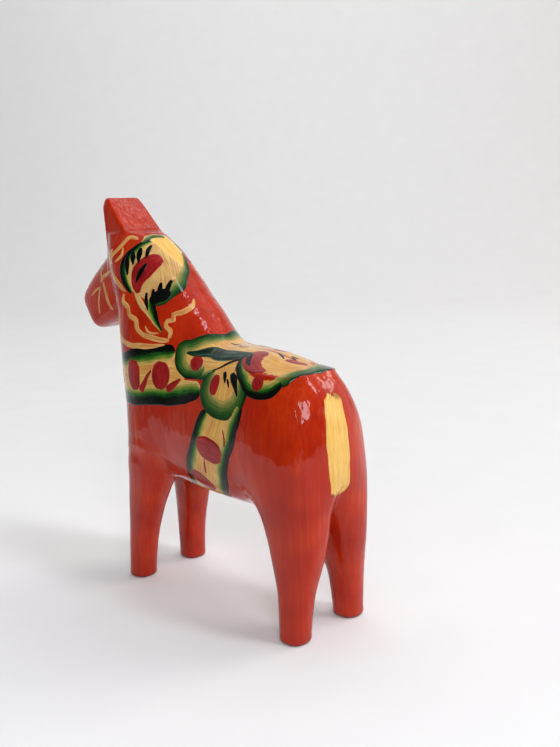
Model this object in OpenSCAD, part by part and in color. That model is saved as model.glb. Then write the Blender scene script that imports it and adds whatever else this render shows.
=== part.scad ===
// Dala horse: one carved block of pine standing on four legs, with thin films of paint.
// Millimetres. The horse faces -Y, its left flank is +X, +Z is up, soles at z = 0.
// Stations are written as u (forward), w (to the left) and z, and u runs along -Y.

/* [Trunk] */
// Trunk half width at the barrel
trunk_half_width = 16.5; // [12:0.5:20]
// Height of the back above the table
back_height = 83; // [76:0.5:90]
// Height of the belly above the table
belly_height = 34; // [30:0.5:40]

/* [Neck and head] */
// Neck half width at the shoulders
neck_half_width = 16.3; // [12:0.1:20]
// How much narrower the mane is than the throat
neck_wedge = 0.22; // [0:0.01:0.35]
// Muzzle half width
muzzle_half_width = 7.9; // [5:0.1:11]
// Height of the ear block's top edge
ear_height = 130; // [124:0.5:136]
// Half width of the ear block's top edge
ear_half_width = 6.8; // [4:0.1:9]

/* [Legs] */
// Half width of a front hoof end, along the horse
front_sole = 4.8; // [3.5:0.1:6]
// Half width of a hind hoof end, along the horse
hind_sole = 4.8; // [3.5:0.1:6]
// Middle of the front soles, in front of the centre
front_reach = 37.5; // [34:0.5:40]
// Middle of the hind soles, behind the centre
hind_reach = 37; // [34:0.5:40]

/* [Paint] */
// Thickness of a paint film
film = 0.2; // [0.1:0.05:0.4]
// Width of the tail stroke
tail_width = 9; // [6:0.5:12]
// Height of the lower end of the tail stroke
tail_low = 44; // [40:1:56]
// Height of the upper end of the tail stroke
tail_high = 71; // [62:1:76]

/* [Hidden] */
// Amount that moves the bounding box's middle onto the origin
shift = -11.7;
// Round detail of the carved sections
sides = 40;
tk = trunk_half_width / 16.5;
nk = neck_half_width / 16.3;
bt = back_height - 83;
bb = belly_height - 34;
pine_red = [0.72, 0.13, 0.07];
cream = [0.86, 0.66, 0.33];
yellow = [0.93, 0.76, 0.42];
leaf_green = [0.10, 0.30, 0.10];
ochre = [0.80, 0.60, 0.32];

// Trunk stations: u, top, bottom, half width, squareness
trunk = [
  [-47.5, 66, 46, 5, 2.2],
  [-46.8, 69.5, 43, 8, 2.2],
  [-45, 72.5, 40.5, 10.5, 2.3],
  [-41, 75.5, 38.5, 12.3, 2.4],
  [-34, 78.5, 36, 14, 2.5],
  [-27, 80.5, 35, 15.2, 2.5],
  [-20, 82 + bt * 0.7, 34 + bb, 16 * tk, 2.5],
  [-5, 83 + bt, 34 + bb, 16.5 * tk, 2.5],
  [10, 83.5 + bt, 35 + bb, 16 * tk, 2.5],
  [24, 84 + bt * 0.7, 36.5, 15, 2.5],
  [34, 84, 39, 13, 2.5],
  [38.5, 82, 41.5, 11, 2.4],
  [40.8, 78.5, 45, 8.5, 2.3],
  [41.5, 75, 49, 6, 2.2]
];
// Neck stations: z, front, back, half width, squareness
neck = [
  [50, 37.5, 12, 13, 2.5],
  [60, 39, 6.5, 14.5 * nk, 2.5],
  [70, 40.5, 2, 15.5 * nk, 2.5],
  [78, 41.5, 1, 16.3 * nk, 2.5],
  [82, 42.4, -0.5, 16.2 * nk, 2.5],
  [86, 43.2, 1.5, 15.7 * nk, 2.5],
  [90, 44, 5, 15 * nk, 2.5],
  [94, 45, 9, 14.3 * nk, 2.6],
  [98, 46, 13, 13.5 * nk, 2.6],
  [106, 48, 20.5, 12, 2.8],
  [113, 50, 28.5, 10.2, 3],
  [116, 50.6, 33, 9, 3.2],
  [118, 51, 36.5, 8.2, 3.4]
];
// Head stations along the axis: share of the length, half height, half width, squareness
head_from = [39, 108];
head_to = [67.3, 90];
head = [
  [-0.1, 9.2, 8, 3],
  [0.25, 10.5, 9, 3.2],
  [0.6, 10, 8.5, 3.2],
  [0.88, 8.6, muzzle_half_width, 3.2],
  [0.96, 8, muzzle_half_width - 0.5, 3.1],
  [1, 7.1, muzzle_half_width - 1.4, 3]
];
// Leg stations: z, u, w, half length, half width, squareness
front_leg = [
  [0, front_reach, 11.2, front_sole - 0.4, 4.2, 2.4],
  [0.5, front_reach, 11.2, front_sole, 4.6, 2.4],
  [12, 36.5, 10.7, 5.3, 4.7, 2.4],
  [25, 34.3, 10, 6.7, 5.4, 2.5],
  [34, 32.3, 9.2, 8.2, 6.5, 2.5],
  [44, 31, 8.2, 9.2, 7.6, 2.5],
  [56, 29.5, 7, 8.6, 7.6, 2.4],
  [70, 28, 3.5, 5, 4.5, 2.2]
];
hind_leg = [
  [0, -hind_reach, 11.8, hind_sole - 0.4, 4.3, 2.4],
  [0.5, -hind_reach, 11.8, hind_sole, 4.7, 2.4],
  [12, -37, 11, 6, 4.7, 2.4],
  [25, -36.4, 9.2, 8.7, 6.4, 2.5],
  [36, -35, 8.2, 11.2, 7.8, 2.5],
  [48, -33, 8.2, 12.8, 8.5, 2.5],
  [60, -31, 7.8, 12.4, 8.6, 2.4],
  [72, -28, 4, 7.5, 4.5, 2.2]
];

// A point of a superellipse with half sizes a and b and squareness n, at angle t
function power(v, p) = sign(v) * pow(abs(v), p);
function squircle(a, b, n, t) = [a * power(cos(t), 2 / n), b * power(sin(t), 2 / n)];
function outline(a, b, n) = [for (i = [0:sides - 1]) squircle(a, b, n, (i + 0.5) * 360 / sides)];
// The same, narrower towards its first axis' negative end
function wedge(a, b, n, k) = [for (p = outline(a, b, n)) [p[0], p[1] * (1 + k * p[0] / a)]];

// Frame of the stations to frame of the part: u forward becomes -Y, w becomes X
module place() {
  translate([0, -shift, 0])
    rotate([0, 0, -90])
      children();
}

// Closed solid through rings of points, each ring turning the same way round the chain
module skin(rings) {
  n = len(rings[0]);
  last = n * (len(rings) - 1);
  walls = [
    for (k = [0:len(rings) - 2], i = [0:n - 1])
      let (a = k * n + i, b = k * n + (i + 1) % n)
        each [[a, a + n, b + n], [a, b + n, b]]
  ];
  start_cap = [for (i = [0:n - 1]) i];
  end_cap = [for (i = [n - 1:-1:0]) last + i];
  polyhedron(points = [for (r = rings) each r], faces = concat(walls, [start_cap, end_cap]));
}

// Trunk with every section grown by g
module trunk_skin(g) {
  skin([
    for (s = trunk)
      let (u = s[0] + (s[0] < -47 ? -g : s[0] > 41 ? g : 0), mid = (s[1] + s[2]) / 2)
        [for (p = outline((s[1] - s[2]) / 2 + g, s[3] + g, s[4])) [u, -p[1], mid + p[0]]]
  ]);
}

// Neck with every section grown by g
module neck_skin(g) {
  skin([
    for (s = neck)
      let (z = s[0] + (s[0] > 117 ? g : 0), mid = (s[1] + s[2]) / 2)
        [for (p = wedge((s[1] - s[2]) / 2 + g, s[3] + g, s[4], neck_wedge)) [mid + p[0], p[1], z]]
  ]);
}

// Head along its own axis, every section grown by g
module head_skin(g) {
  run = head_to - head_from;
  reach = norm(run);
  along = run / reach;
  skin([
    for (s = head)
      let (at = head_from + along * (s[0] * reach + (s[0] > 0.99 ? g : 0)))
        [for (p = outline(s[1] + g, s[2] + g, s[3])) [at[0] - along[1] * p[0], -p[1], at[1] + along[0] * p[0]]]
  ]);
}

// One leg, every section grown by g; side is 1 for the left and -1 for the right
module leg_chain(stations, side, g) {
  rings = [
    for (s = stations)
      [for (p = outline(s[3] + g, s[4] + g, s[5])) [s[1] + p[0], side * s[2] + p[1], s[0]]]
  ];
  for (i = [0:len(rings) - 2])
    hull()
      skin([rings[i], rings[i + 1]]);
}

// Ear block: a wedge with a sloping back face and bevelled top corners
module ear_block(g) {
  low = 106;
  top = ear_height + g;
  w0 = 8.6 + g;
  w1 = ear_half_width + g;
  hull() {
    for (s = [-1, 1]) {
      translate([23 - g, s * (w0 - 0.5), low]) cube([0.02, 0.02, 0.02]);
      translate([49.8 + g, s * (w0 - 0.5), low]) cube([0.02, 0.02, 0.02]);
      translate([50.4 - g, s * (w1 - 1), top - 0.02]) cube([0.02, 0.02, 0.02]);
      translate([48.2 - g, s * w1, top - 2.4]) cube([0.02, 0.02, 0.02]);
      translate([52.4 + g, s * (w1 - 1), top - 0.02]) cube([0.02, 0.02, 0.02]);
      translate([53 + g, s * (w1 - 0.2), top - 2.8]) cube([0.02, 0.02, 0.02]);
    }
  }
}

// The whole block, grown by g
module block(g) {
  color(pine_red)
    union() {
      trunk_skin(g);
      neck_skin(g);
      head_skin(g);
      ear_block(g);
      for (side = [-1, 1]) {
        leg_chain(front_leg, side, g);
        leg_chain(hind_leg, side, g);
      }
    }
}

// Straight-sided solid across the horse from a side view drawing, from w = from to w = to
module across(from, to) {
  translate([0, to, 0])
    rotate([90, 0, 0])
      linear_extrude(height = to - from)
        children();
}

// A brushed line of width d through points
module brushed(points, d) {
  for (i = [0:len(points) - 2])
    hull()
      for (p = [points[i], points[i + 1]])
        translate(p) circle(d = d, $fn = 12);
}

// A paint film: the grown block where the drawing covers it, less the block itself
module paint(tint) {
  color(tint)
    difference() {
      intersection() {
        block(film);
        children();
      }
      block(0);
    }
}

// The carved, sawn and painted pine block
module carved_body() {
  place() block(0);
}

// Side view drawing of the flower cluster on the back
module flower_drawing() {
  translate([3, 78]) circle(r = 9, $fn = 30);
  translate([-14.5, 70]) circle(r = 8.3, $fn = 30);
  translate([-29, 75]) circle(r = 9, $fn = 30);
  polygon([[8, 76], [8, 90], [-38, 84], [-38, 77], [-28, 70], [-14, 70], [0, 71]]);
}

module saddle_flowers() {
  place() paint(cream) across(-20, 20) flower_drawing();
}

// Band round the breast and shoulders, painted over both sides and the chest
module breast_band() {
  place()
    paint(cream)
      across(-20, 20)
        difference() {
          polygon([[5, 83.5], [15, 83.5], [29, 80], [48, 77], [48, 62], [36, 62.5], [24, 64], [8, 67], [-5, 69]]);
          offset(delta = 0.3) flower_drawing();
        }
}

// Band from the flowers down one flank to the belly
module girth_band(side) {
  place()
    paint(leaf_green)
      across(side > 0 ? 4 : -20, side > 0 ? 20 : -4)
        difference() {
          polygon([[-7, 66], [-3, 58], [1.5, 51], [6, 43], [8, 32], [-3, 32], [-10, 44], [-16, 54.5], [-20.5, 63]]);
          offset(delta = 0.3) flower_drawing();
        }
}

module girth_band_left() {
  girth_band(1);
}

module girth_band_right() {
  girth_band(-1);
}

// Drop-shaped flower on one side of the neck
module neck_flower(side) {
  place()
    paint(ochre)
      across(side > 0 ? 0.3 : -20, side > 0 ? 20 : -0.3)
        union() {
          translate([27, 104.5]) circle(r = 9.5, $fn = 36);
          polygon([[31.5, 112], [35.5, 113.5], [38.5, 110], [37, 104], [33, 98.5], [29, 96.5]]);
          polygon([[34, 99], [25, 96], [15, 86.5], [16.5, 92], [20, 98]]);
        }
}

module neck_flower_left() {
  neck_flower(1);
}

module neck_flower_right() {
  neck_flower(-1);
}

// Wavy lines of the bridle on one cheek and the neck
module bridle(side) {
  place()
    paint(yellow)
      across(side > 0 ? 1 : -20, side > 0 ? 20 : -1) {
        brushed([[54, 104], [49, 99.5], [40, 96.5], [34, 93], [30.5, 88], [28.5, 80.8]], 2.2);
        brushed([[33, 97], [28.5, 94.5], [27.5, 92], [23, 88.5], [17, 84], [12, 84], [13, 90], [11.5, 94]], 1.6);
      }
}

module bridle_left() {
  bridle(1);
}

module bridle_right() {
  bridle(-1);
}

// Tail: one broad stroke down the middle of the rump
module tail_stroke() {
  place()
    paint(yellow)
      translate([-60, 1.3, 0])
        rotate([90, 0, 90])
          linear_extrude(height = 30)
            polygon([
              [-tail_width * 0.34, tail_high],
              [tail_width * 0.3, tail_high],
              [tail_width * 0.46, tail_high - 6],
              [tail_width * 0.5, tail_low + 8],
              [tail_width * 0.44, tail_low],
              [-tail_width * 0.44, tail_low],
              [-tail_width * 0.5, tail_low + 8],
              [-tail_width * 0.46, tail_high - 6]
            ]);
}

carved_body();
saddle_flowers();
breast_band();
girth_band_left();
girth_band_right();
neck_flower_left();
neck_flower_right();
bridle_left();
bridle_right();
tail_stroke();
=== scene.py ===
import math

import bpy
import numpy as np
from mathutils import Matrix


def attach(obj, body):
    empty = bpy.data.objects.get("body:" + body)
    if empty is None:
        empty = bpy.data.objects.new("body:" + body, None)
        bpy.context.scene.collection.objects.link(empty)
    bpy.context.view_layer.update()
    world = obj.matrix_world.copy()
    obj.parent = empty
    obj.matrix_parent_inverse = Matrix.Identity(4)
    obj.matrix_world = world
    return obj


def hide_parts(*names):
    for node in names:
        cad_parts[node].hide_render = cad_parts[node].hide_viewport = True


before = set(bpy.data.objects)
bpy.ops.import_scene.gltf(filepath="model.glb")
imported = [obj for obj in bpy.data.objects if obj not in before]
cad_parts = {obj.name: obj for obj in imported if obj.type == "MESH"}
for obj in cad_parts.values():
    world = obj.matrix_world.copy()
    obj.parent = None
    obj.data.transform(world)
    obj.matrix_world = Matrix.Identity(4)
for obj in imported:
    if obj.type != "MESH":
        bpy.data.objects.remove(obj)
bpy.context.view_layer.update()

# ---------------------------------------------------------------------------
# The carved body. One block of pine, sawn to the outline of a standing horse and rounded
# off with a knife, then painted red and varnished. Trunk, neck, head, ear and legs are all
# one piece of wood: each is a rounded section, run into the next with a carved fillet.

# Sizes here are in millimetres along the horse: u forward, w to its left, z up.
TRUNK = np.array([  # u, top, bottom, half width, squareness
    [-47.5, 70, 42, 9.5, 2.3], [-42, 75, 39, 12, 2.4], [-34, 78.5, 36, 14, 2.5],
    [-20, 82, 34, 16, 2.5], [-5, 83, 34, 16.5, 2.5], [10, 83.5, 35, 16, 2.5],
    [24, 84, 36.5, 15, 2.5], [34, 84, 39, 13, 2.5], [41.5, 82, 43, 10, 2.4]])
NECK = np.array([  # z, front, back, half width, squareness
    [50, 37.5, 12, 13, 2.5], [60, 39, 6.5, 14.5, 2.5], [70, 40.5, 2, 15.5, 2.5],
    [78, 41.5, 1.5, 16.15, 2.5], [84, 43, 2.5, 15.9, 2.5], [90, 44, 5.5, 15, 2.5],
    [98, 46, 13, 13.5, 2.6], [106, 48, 20.5, 12, 2.8], [113, 50, 28.3, 10.2, 3],
    [116, 50.6, 32.5, 9, 3.2], [118, 51, 36, 8.2, 3.4]])
HEAD_LINE = np.array([[39, 108], [67.5, 90.2]])  # u, z of the poll and of the muzzle
HEAD = np.array([  # share of the way to the muzzle, half height, half width, squareness
    [-0.1, 9.2, 8, 3], [0.25, 10.5, 9, 3.2], [0.6, 10, 8.5, 3.6],
    [0.9, 8.2, 7.9, 4], [1, 7.3, 7.2, 4]])
FRONT_LEG = np.array([  # z, u, w, half length, half width, squareness
    [0, 37.5, 11.2, 4.5, 4.4, 2.4], [12, 36.5, 10.7, 5.2, 4.6, 2.4], [25, 34.3, 10, 6.7, 5.4, 2.5],
    [34, 32.3, 9.2, 8.2, 6.5, 2.5], [44, 31, 8.2, 9.2, 7.6, 2.5], [56, 29.5, 7, 8.6, 7.6, 2.4],
    [72, 28, 4.5, 6.5, 5.5, 2.2]])
HIND_LEG = np.array([  # the same
    [0, -37, 11.8, 4.5, 4.4, 2.4], [12, -37, 11, 5.8, 4.6, 2.4], [25, -36.4, 9.2, 8.7, 6.4, 2.5],
    [36, -35, 8.2, 11.2, 7.8, 2.5], [48, -33, 8.2, 12.8, 8.5, 2.5], [60, -31, 7.8, 12.4, 8.7, 2.4],
    [76, -28, 4.5, 9, 6.2, 2.2]])
EAR_TOP, EAR_FOOT = 130, 108  # z of the ear's cut top and of its root
EAR_ROOT = (30.5, 50.2, 8.7)  # rear, front and half width of the ear at its root
EAR_TAPER = (20.3, 3.6, -1.5)  # and how much each grows up to the cut top
MID = 11.7                    # u of the middle of the horse, which stands over the origin
RUMP_ROUND, BREAST_ROUND = 9, 7  # how widely the trunk's two ends are rounded over
NECK_FILLET, HEAD_FILLET, EAR_FILLET, FRONT_LEG_FILLET, HIND_LEG_FILLET = 7, 3, 1, 4, 5
SAWN_EDGE, EAR_EDGE = 1.2, 0.6  # how far a sawn edge is softened, at muzzle and soles and on the ear
THROAT_FLARE = 0.22           # share by which the throat is wider, and the mane narrower
FACET_DEPTH = 0.05            # depth of the knife facets' waves
FACET_INSET = 3.4             # how many such depths the surface is set in, so that no facet stands proud


def along(stations, t):
    """Station values at t: cubic pieces between stations, each slope the harmonic mean of its
    neighbours' slopes, so that a size never swells past the stations on either side."""
    x, y = stations[:, 0], stations[:, 1:]
    step = np.diff(x)[:, None]
    rise = np.diff(y, axis=0) / step
    before, after = rise[:-1], rise[1:]
    same = before * after > 0
    mean = np.where(same, 2 * before * after / np.where(same, before + after, 1), 0)
    slope = np.vstack([rise[:1], mean, rise[-1:]])
    t = np.clip(t, x[0], x[-1])
    i = np.clip(np.searchsorted(x, t, side="right") - 1, 0, len(x) - 2)
    h = step[i, 0][..., None]
    f = ((t - x[i]) / step[i, 0])[..., None]
    value = ((1 + 2 * f) * (1 - f) ** 2 * y[i] + f * (1 - f) ** 2 * h * slope[i]
             + f * f * (3 - 2 * f) * y[i + 1] + f * f * (f - 1) * h * slope[i + 1])
    return np.moveaxis(value, -1, 0)


def rounded(x, y, a, b, n):
    """How far a point is outside a rounded section: the nth root of |x/a|^n + |y/b|^n, less
    one, times the lesser half size."""
    return (((np.abs(x) / a) ** n + (np.abs(y) / b) ** n) ** (1 / n) - 1) * np.minimum(a, b)


def joined(a, b, width):
    """The lesser of two distances, with a fillet about as wide as width where they meet."""
    h = np.clip(0.5 + 0.5 * (b - a) / width, 0, 1)
    return b + (a - b) * h - width * h * (1 - h)


def cut(a, b, width):
    """The greater of two distances, the edge between them rounded over about width."""
    return -joined(-a, -b, width)


def leg(stations, u, w, z):
    """A leg: its section at height z, mirrored in w, cut off flat at the sole."""
    fore, out, length, width, square = along(stations, z)
    side = rounded(u - fore, np.abs(w) - out, length, width, square)
    return np.maximum(cut(side, -z, SAWN_EDGE), z - stations[-1, 0])


def wood(u, w, z):
    """Distance, nearly, out from the carved horse, negative inside. The parts are joined one
    by one, then the knife's long shallow facets are added as a sum of slow waves, which die
    out over the lowest 3 mm so that the soles stay flat."""
    top, bottom, half, square = along(TRUNK, u)
    middle = (top + bottom) / 2
    trunk = rounded(w, z - middle, half, (top - bottom) / 2, square)
    body = cut(cut(trunk, TRUNK[0, 0] - u, RUMP_ROUND), u - TRUNK[-1, 0], BREAST_ROUND)

    front, back, half, square = along(NECK, z)
    middle, deep = (front + back) / 2, (front - back) / 2
    wedge = 1 + THROAT_FLARE * np.clip((u - middle) / deep, -1.15, 1.15)
    neck = rounded(w / wedge, u - middle, half, deep, square)
    neck = np.maximum(neck, np.maximum(NECK[0, 0] - z, z - NECK[-1, 0]))
    body = joined(body, neck, NECK_FILLET)

    line = HEAD_LINE[1] - HEAD_LINE[0]
    length = math.hypot(*line)
    ahead, up = line / length
    t = ((u - HEAD_LINE[0, 0]) * ahead + (z - HEAD_LINE[0, 1]) * up) / length
    across = (z - HEAD_LINE[0, 1]) * ahead - (u - HEAD_LINE[0, 0]) * up
    tall, half, square = along(HEAD, t)
    head = np.maximum(rounded(w, across, half, tall, square), (HEAD[0, 0] - t) * length)
    body = joined(body, cut(head, (t - 1) * length, SAWN_EDGE), HEAD_FILLET)

    t = (z - EAR_FOOT) / (EAR_TOP - EAR_FOOT)
    rear, fore, half = (size + more * t for size, more in zip(EAR_ROOT, EAR_TAPER))
    ear = cut(cut((rear - u) * 0.75, u - fore, 0.8), np.abs(w) - half, 0.9)  # the rear leans, so 0.75
    beside = 0.93 * (np.abs(w) - half + 0.9) + 0.37 * (z - EAR_TOP)  # bevels near the top, the first
    before = 0.9 * (u - fore + 1.4) + 0.42 * (z - EAR_TOP)           # 0.9 mm in and the other 1.4 mm
    ear = cut(cut(ear, beside, EAR_EDGE), before, EAR_EDGE)
    ear = np.maximum(cut(ear, z - EAR_TOP, EAR_EDGE), EAR_FOOT - 4 - z)
    body = joined(body, ear, EAR_FILLET)

    body = joined(body, leg(FRONT_LEG, u, w, z), FRONT_LEG_FILLET)
    body = joined(body, leg(HIND_LEG, u, w, z), HIND_LEG_FILLET)
    facets = (np.sin(u / 3.1 + z / 9 + 1.3) * np.sin(z / 6.3 - w / 4.1 + 0.4)
              + 0.6 * np.sin(u / 5.3 - z / 3.7) * np.sin(z / 11 + w / 2.9 + 2))
    return body + FACET_DEPTH * (FACET_INSET + facets) * np.clip(z / 3, 0, 1)


def settled(p, rounds=2, reach=0.05, least=0.3):
    """Points brought onto the wood by walking down the slope of the distance, and the
    outward normal there. p is (..., 3). The slope is taken over reach mm, and is counted as
    at least least, so that no point is thrown far where the distance is nearly level."""
    probes = reach * np.vstack([np.zeros(3), np.eye(3)])
    for step in range(rounds + 1):
        d = wood(*np.moveaxis(p[..., None, :] + probes, -1, 0))
        slope = (d[..., 1:] - d[..., :1]) / reach
        steep = np.linalg.norm(slope, axis=-1, keepdims=True)
        if step < rounds:
            p = p - d[..., :1] * slope / np.maximum(steep, least) ** 2
    return p, slope / steep


def woodskin(low, high, cell):
    """The surface where the distance is nought: one point in each cell of a grid that the
    surface passes through, the mean of where it crosses the cell's edges, and one four-sided
    face round each grid edge that it crosses."""
    axes = [np.arange(a, b, cell) for a, b in zip(low, high)]
    d = wood(axes[0][:, None, None], axes[1][None, :, None], axes[2][None, None, :])
    inside = d < 0
    halves = (slice(None, -1), slice(1, None))
    count = sum(inside[i, j, k].astype(np.uint8) for i in halves for j in halves for k in halves)
    crossed = (count > 0) & (count < 8)
    number = np.full(crossed.shape, -1)
    number[crossed] = np.arange(crossed.sum())
    cells = np.stack(np.nonzero(crossed), -1)
    total, hits = np.zeros(cells.shape), np.zeros(len(cells))
    faces = []
    for axis in range(3):
        ends = np.eye(3, dtype=int)[axis]
        for corner in ((0, 0), (0, 1), (1, 0), (1, 1)):
            start = np.insert(corner, axis, 0)
            a, b = d[tuple((cells + start).T)], d[tuple((cells + start + ends).T)]
            met = (a < 0) != (b < 0)
            share = a[met] / (a[met] - b[met])
            total[met] += start + share[:, None] * ends
            hits[met] += 1
        lower, upper = [slice(None)] * 3, [slice(None)] * 3
        lower[axis], upper[axis] = slice(0, -1), slice(1, None)
        edge = np.argwhere(inside[tuple(lower)] != inside[tuple(upper)])
        one, two = np.eye(3, dtype=int)[(axis + 1) % 3], np.eye(3, dtype=int)[(axis + 2) % 3]
        four = (one + two, two, 0 * one, one)
        ring = np.stack([number[tuple((edge - back).T)] for back in four], -1)
        outward = inside[tuple(edge.T)]
        ring[~outward] = ring[~outward][:, ::-1]
        faces.append(ring)
    return (cells + total / hits[:, None]) * cell + low, np.concatenate(faces)


def in_place(p):
    """Horse millimetres to metres where the horse stands: its left is +X and it faces -Y."""
    return np.stack([p[..., 1], MID - p[..., 0], p[..., 2]], -1) / 1000


def make_piece(name, points, faces, finish, sheets=()):
    """A smooth mesh from points in horse millimetres and four-sided faces. sheets are pairs
    of a UV map's name and one (x, y) for each point."""
    mesh = bpy.data.meshes.new(name)
    mesh.vertices.add(len(points))
    mesh.loops.add(faces.size)
    mesh.polygons.add(len(faces))
    mesh.vertices.foreach_set("co", in_place(points).astype(np.float32).ravel())
    mesh.loops.foreach_set("vertex_index", faces.astype(np.int32).ravel())
    mesh.polygons.foreach_set("loop_start", np.arange(0, faces.size, 4, dtype=np.int32))
    mesh.polygons.foreach_set("use_smooth", np.ones(len(faces), dtype=bool))
    mesh.update(calc_edges=True)
    for sheet, uv in sheets:
        layer = mesh.uv_layers.new(name=sheet)
        layer.data.foreach_set("uv", uv[faces.ravel()].astype(np.float32).ravel())
    mesh.materials.append(finish)
    mesh.validate()
    piece = bpy.data.objects.new(name, mesh)
    bpy.context.scene.collection.objects.link(piece)
    return piece


def tint(code):
    """An sRGB hex colour as linear red, green, blue and full cover."""
    c = np.array([int(code[i:i + 2], 16) for i in (1, 3, 5)]) / 255
    c = np.where(c <= 0.04045, c / 12.92, ((c + 0.055) / 1.055) ** 2.4)
    return (*(float(v) for v in c), 1.0)


def new_finish(name):
    """A new material with only its shader and output; gives it, its node tree and the shader."""
    finish = bpy.data.materials.new(name)
    finish.use_nodes = True
    return finish, finish.node_tree, finish.node_tree.nodes["Principled BSDF"]


def add(tree, kind, settings=None, sockets=None):
    """One node: settings are its own choices (stops fill a ramp), sockets are values, or
    other nodes' outputs to link."""
    made = tree.nodes.new(kind)
    for key, value in (settings or {}).items():
        if key == "stops":
            ramp = made.color_ramp.elements
            while len(ramp) < len(value):
                ramp.new(0.5)
            for stop, (position, colour) in zip(ramp, value):
                stop.position, stop.color = position, tint(colour)
        else:
            setattr(made, key, value)
    for key, value in (sockets or {}).items():
        if isinstance(value, bpy.types.NodeSocket):
            tree.links.new(value, made.inputs[key])
        else:
            made.inputs[key].default_value = value
    return made


def under_varnish(shader, ior, coat_roughness):
    """Paint under a clear gloss varnish. The paint itself is dull, and only the varnish
    shines. Its index is set lower than a real varnish's 1.5, to match its soft glints."""
    for socket, value in (("Roughness", 0.5), ("IOR", ior), ("Specular IOR Level", 0.04),
                          ("Coat Weight", 1.0), ("Coat Roughness", coat_roughness), ("Coat IOR", 1.34)):
        shader.inputs[socket].default_value = value


# Red lacquered pine: two coats of orange-red alkyd brushed up and down over the wood, under
# a clear gloss varnish. The eye gets long faint upright bristle streaks about 1.1 mm wide,
# slow changes over 14 mm where the coat is thicker, thin paint at the cut edges of the soles,
# and glints broken up by the sunken grain and by slow runs in the varnish, 1.6 by 5.5 mm.
STREAK, GRAIN, RUN = (0.0011, 0.040), (0.0022, 0.045), (0.0016, 0.0055)  # metres across and upright
CLOUD = 0.014  # metres over which the coat's thickness changes
WORN_HIGH, WORN_BLUR = 0.0016, 0.0004  # metres: how high the thin paint at the soles reaches, and its edge

red_pine, tree, shader = new_finish("red_lacquered_pine")
place = add(tree, "ShaderNodeTexCoord").outputs["Object"]
upright, sinking, running = (
    add(tree, "ShaderNodeMapping", None,
        {"Vector": place, "Scale": (1 / wide, 1 / wide, 1 / tall)}).outputs[0]
    for wide, tall in (STREAK, GRAIN, RUN))
streaks = add(tree, "ShaderNodeTexNoise", None,
              {"Vector": upright, "Scale": 1.0, "Detail": 4.0, "Roughness": 0.6})
sunken = add(tree, "ShaderNodeTexNoise", None, {"Vector": sinking, "Scale": 1.0, "Detail": 3.0})
flow = add(tree, "ShaderNodeTexNoise", None, {"Vector": running, "Scale": 1.0, "Detail": 1.0})
cloud = add(tree, "ShaderNodeTexNoise", None,
            {"Vector": place, "Scale": 1 / CLOUD, "Detail": 2.0, "Roughness": 0.5})
thick = add(tree, "ShaderNodeMath", {"operation": "MULTIPLY"}, {0: streaks.outputs["Fac"], 1: 0.36})
cover = add(tree, "ShaderNodeMath", {"operation": "MULTIPLY_ADD"},
            {0: cloud.outputs["Fac"], 1: 0.64, 2: thick.outputs[0]})
reds = add(tree, "ShaderNodeValToRGB", {"stops": [
    (0.30, "#941A04"), (0.45, "#A42105"), (0.56, "#B02906"), (0.72, "#C03A0C")]}, {"Fac": cover.outputs[0]})
height = add(tree, "ShaderNodeSeparateXYZ", None, {"Vector": place})
ragged = add(tree, "ShaderNodeMath", {"operation": "MULTIPLY_ADD"},
             {0: cloud.outputs["Fac"], 1: -WORN_HIGH, 2: height.outputs["Z"]})
sole = add(tree, "ShaderNodeMapRange", None, {
    "Value": ragged.outputs[0], "From Min": -WORN_BLUR, "From Max": WORN_BLUR, "To Min": 0.75, "To Max": 0.0})
colour = add(tree, "ShaderNodeMix", {"data_type": "RGBA"},
             {"Factor": sole.outputs[0], "A": reds.outputs["Color"], "B": tint("#6B1C12")})
tree.links.new(colour.outputs["Result"], shader.inputs["Base Color"])
under_varnish(shader, 1.5, 0.035)
relief = add(tree, "ShaderNodeMath", {"operation": "MULTIPLY_ADD"},
             {0: streaks.outputs["Fac"], 1: 0.35, 2: sunken.outputs["Fac"]})
brushed = add(tree, "ShaderNodeBump", None,
              {"Height": relief.outputs[0], "Strength": 0.35, "Distance": 0.0003})
tree.links.new(brushed.outputs["Normal"], shader.inputs["Normal"])
varnish = add(tree, "ShaderNodeMath", {"operation": "MULTIPLY_ADD"},
              {0: relief.outputs[0], 1: 0.6, 2: flow.outputs["Fac"]})
wavering = add(tree, "ShaderNodeBump", None,
               {"Height": varnish.outputs[0], "Strength": 0.5, "Distance": 0.00032})
tree.links.new(wavering.outputs["Normal"], shader.inputs["Coat Normal"])

CELL = 0.62  # edge of a grid cell, and so nearly of a face
points, faces = woodskin((-50, -20.1, -0.61), (74, 20.2, 131.5), CELL)
points, _ = settled(points, 2)
points[:, 2] = np.maximum(points[:, 2], 0)  # the soles stand flat on the floor
block = make_piece("pine_block", points, faces, red_pine)
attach(block, "root")
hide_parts("carved_body")

# ---------------------------------------------------------------------------
# The breast band. A harness strap painted round the chest with a loaded brush:
# a cream ground, a black-green stroke along each edge, and tipped red ovals.
# It is flexible oil paint on the wood, thickest down the middle of a stroke.


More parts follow.
